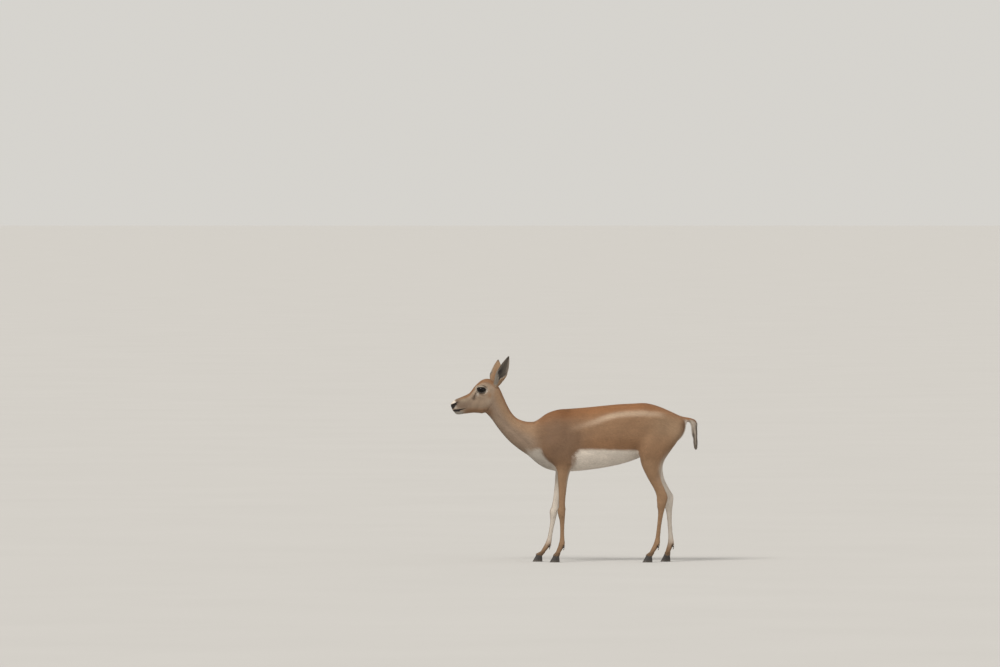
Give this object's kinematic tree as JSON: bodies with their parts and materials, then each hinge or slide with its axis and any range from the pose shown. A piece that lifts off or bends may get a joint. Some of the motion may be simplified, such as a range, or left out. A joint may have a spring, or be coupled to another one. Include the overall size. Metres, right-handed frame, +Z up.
{
  "type": "blackbuck",
  "caption": "Life-size model of a standing female blackbuck: slender legs on split hooves, long arched neck, head level, upright leaf-shaped ears and a short hanging tail.",
  "frame": {"origin": "on the floor, under the middle of the model's bounding box", "axes": "+Z up, the animal looks along -X, its left side faces -Y"},
  "size_m": [1.1988, 0.23, 0.9906],
  "materials": {
    "coat": "short matt fur",
    "tail_hair": "longer matt hair",
    "hoof_horn": "smooth dull horn",
    "nose_pad": "damp fine-grained skin",
    "eye": "wet gloss"
  },
  "bodies": {
    "root": {"foreleg_left": "coat", "fore_cannon_left": "coat", "fore_pastern_left": "coat", "fore_hoof_left_outer": "hoof_horn", "fore_dewclaw_left_outer": "hoof_horn", "fore_hoof_left_inner": "hoof_horn", "fore_dewclaw_left_inner": "hoof_horn", "foreleg_right": "coat", "fore_cannon_right": "coat", "fore_pastern_right": "coat", "fore_hoof_right_outer": "hoof_horn", "fore_dewclaw_right_outer": "hoof_horn", "fore_hoof_right_inner": "hoof_horn", "fore_dewclaw_right_inner": "hoof_horn", "thigh_left": "coat", "hind_shank_left": "coat", "hind_cannon_left": "coat", "hind_pastern_left": "coat", "hind_hoof_left_outer": "hoof_horn", "hind_dewclaw_left_outer": "hoof_horn", "hind_hoof_left_inner": "hoof_horn", "hind_dewclaw_left_inner": "hoof_horn", "thigh_right": "coat", "hind_shank_right": "coat", "hind_cannon_right": "coat", "hind_pastern_right": "coat", "hind_hoof_right_outer": "hoof_horn", "hind_dewclaw_right_outer": "hoof_horn", "hind_hoof_right_inner": "hoof_horn", "hind_dewclaw_right_inner": "hoof_horn", "rump": "coat", "barrel": "coat", "chest": "coat", "neck": "coat", "tail": "tail_hair", "eye_left": "eye", "ear_left": "coat", "eye_right": "eye", "ear_right": "coat", "nose": "nose_pad", "head": "coat"}
  },
  "joints": []
}
